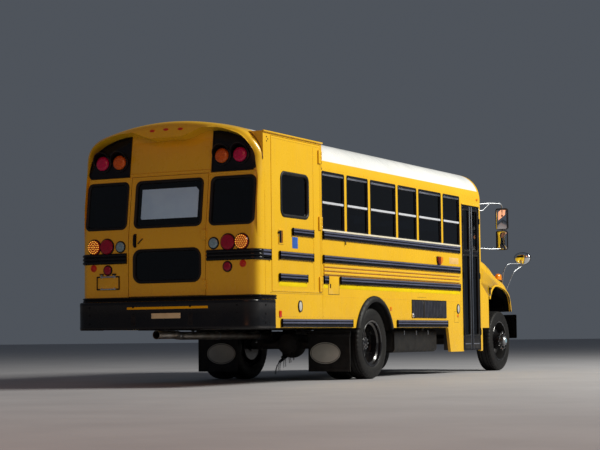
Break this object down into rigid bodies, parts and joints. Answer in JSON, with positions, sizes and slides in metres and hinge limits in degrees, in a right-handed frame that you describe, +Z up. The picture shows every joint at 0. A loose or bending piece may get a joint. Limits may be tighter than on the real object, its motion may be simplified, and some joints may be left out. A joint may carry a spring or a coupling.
{
  "type": "school bus",
  "caption": "Conventional-hood school bus with a rear emergency door, side lift door, outward-opening entrance door, tilting hood, stop arm, steered front wheels and driven rear axle.",
  "frame": {"origin": "on the ground under the middle of the whole vehicle", "axes": "+Z up, front of the bus towards -Y, its right (kerb) side towards -X"},
  "size_m": [3.03, 9.03, 3.1717],
  "materials": {
    "body_paint": "gloss school-bus yellow enamel",
    "roof_paint": "gloss white enamel",
    "black_paint": "semi-gloss black enamel",
    "chassis_paint": "satin black chassis paint",
    "wheel_paint": "gloss black wheel paint",
    "window_glass": "tinted safety glass",
    "hatch_plastic": "moulded white plastic",
    "floor_rubber": "ribbed black rubber",
    "cast_metal": "cast grey",
    "exhaust_steel": "aluminised steel",
    "flap_rubber": "moulded rubber",
    "mirror_housing": "black moulded housing",
    "grille_plastic": "black moulded grille",
    "sign_red": "reflective red with white border",
    "seat_vinyl": "dark blue vinyl",
    "dash_plastic": "grained plastic",
    "tyre_rubber": "moulded tread rubber"
  },
  "bodies": {
    "body": {"right_side_wall": "body_paint", "left_side_wall": "body_paint", "rear_wall": "body_paint", "front_wall": "body_paint", "lift_header": "body_paint", "roof": "roof_paint", "floor": "floor_rubber", "entrance_steps": "floor_rubber", "windscreen": "window_glass", "side_windows": "window_glass", "rub_rails": "black_paint", "front_bumper": "black_paint", "rear_bumper": "black_paint", "frame": "chassis_paint", "floor_bearers": "chassis_paint", "leaf_springs": "chassis_paint", "front_axle": "chassis_paint", "rear_axle": "chassis_paint", "fuel_tank": "chassis_paint", "engine": "cast_metal", "exhaust": "exhaust_steel", "mudflaps": "flap_rubber", "mirrors": "mirror_housing", "seats": "seat_vinyl", "dashboard": "dash_plastic"},
    "rear_door": {"rear_door": "body_paint", "rear_door_glass": "window_glass"},
    "lift_door": {"lift_door": "body_paint", "lift_door_glass": "window_glass"},
    "entrance_rear_leaf": {"entrance_door_rear_leaf": "black_paint", "entrance_door_rear_leaf_glass": "window_glass"},
    "entrance_front_leaf": {"entrance_door_front_leaf": "black_paint", "entrance_door_front_leaf_glass": "window_glass"},
    "roof_hatch": {"roof_hatch": "hatch_plastic"},
    "hood": {"hood": "body_paint", "grille": "grille_plastic", "fender_mirrors": "mirror_housing"},
    "stop_arm": {"stop_arm": "sign_red"},
    "right_knuckle": {"right_knuckle": "chassis_paint"},
    "left_knuckle": {"left_knuckle": "chassis_paint"},
    "front_right_wheel": {"front_right_tyre": "tyre_rubber", "front_right_rim": "wheel_paint"},
    "front_left_wheel": {"front_left_tyre": "tyre_rubber", "front_left_rim": "wheel_paint"},
    "rear_right_wheels": {"rear_right_tyres": "tyre_rubber", "rear_right_rims": "wheel_paint"},
    "rear_left_wheels": {"rear_left_tyres": "tyre_rubber", "rear_left_rims": "wheel_paint"}
  },
  "joints": [
    {"name": "rear_door_hinge", "type": "hinge", "parent": "body", "child": "rear_door", "pos_m": [-0.5325, 4.399, 1.77], "axis": [0, 0, 1], "range_deg": [0, 110]},
    {"name": "lift_door_hinge", "type": "hinge", "parent": "body", "child": "lift_door", "pos_m": [-1.233, 2.757, 2], "axis": [0, 0, 1], "range_deg": [0, 110]},
    {"name": "entrance_front_leaf_hinge", "type": "hinge", "parent": "body", "child": "entrance_front_leaf", "pos_m": [-1.231, -2.597, 1.4], "axis": [0, 0, 1], "range_deg": [0, 90]},
    {"name": "entrance_rear_leaf_hinge", "type": "hinge", "parent": "body", "child": "entrance_rear_leaf", "pos_m": [-1.231, -1.918, 1.4], "axis": [0, 0, -1], "range_deg": [0, 90]},
    {"name": "roof_hatch_hinge", "type": "hinge", "parent": "body", "child": "roof_hatch", "pos_m": [0, 1.463, 3.152], "axis": [1, 0, 0], "range_deg": [0, 60]},
    {"name": "hood_hinge", "type": "hinge", "parent": "body", "child": "hood", "pos_m": [0, -4.385, 0.9], "axis": [1, 0, 0], "range_deg": [0, 70]},
    {"name": "stop_arm_hinge", "type": "hinge", "parent": "body", "child": "stop_arm", "pos_m": [1.256, -1.885, 1.64], "axis": [0, 0, -1], "range_deg": [0, 90]},
    {"name": "right_steer", "type": "hinge", "parent": "body", "child": "right_knuckle", "pos_m": [-0.85, -3.59, 0.465], "axis": [0, 0, 1], "range_deg": [-40, 40]},
    {"name": "left_steer", "type": "hinge", "parent": "body", "child": "left_knuckle", "pos_m": [0.85, -3.59, 0.465], "axis": [0, 0, 1], "range_deg": [-40, 40]},
    {"name": "front_right_spin", "type": "hinge", "parent": "right_knuckle", "child": "front_right_wheel", "pos_m": [-1.04, -3.59, 0.465], "axis": [1, 0, 0], "continuous": true},
    {"name": "front_left_spin", "type": "hinge", "parent": "left_knuckle", "child": "front_left_wheel", "pos_m": [1.04, -3.59, 0.465], "axis": [1, 0, 0], "continuous": true},
    {"name": "rear_right_spin", "type": "hinge", "parent": "body", "child": "rear_right_wheels", "pos_m": [-0.902, 1.211, 0.465], "axis": [1, 0, 0], "continuous": true},
    {"name": "rear_left_spin", "type": "hinge", "parent": "body", "child": "rear_left_wheels", "pos_m": [0.902, 1.211, 0.465], "axis": [1, 0, 0], "continuous": true}
  ],
  "couplings": [
    {"joint": "left_steer", "follows": "right_steer", "ratio": 1},
    {"joint": "entrance_rear_leaf_hinge", "follows": "entrance_front_leaf_hinge", "ratio": 1}
  ]
}
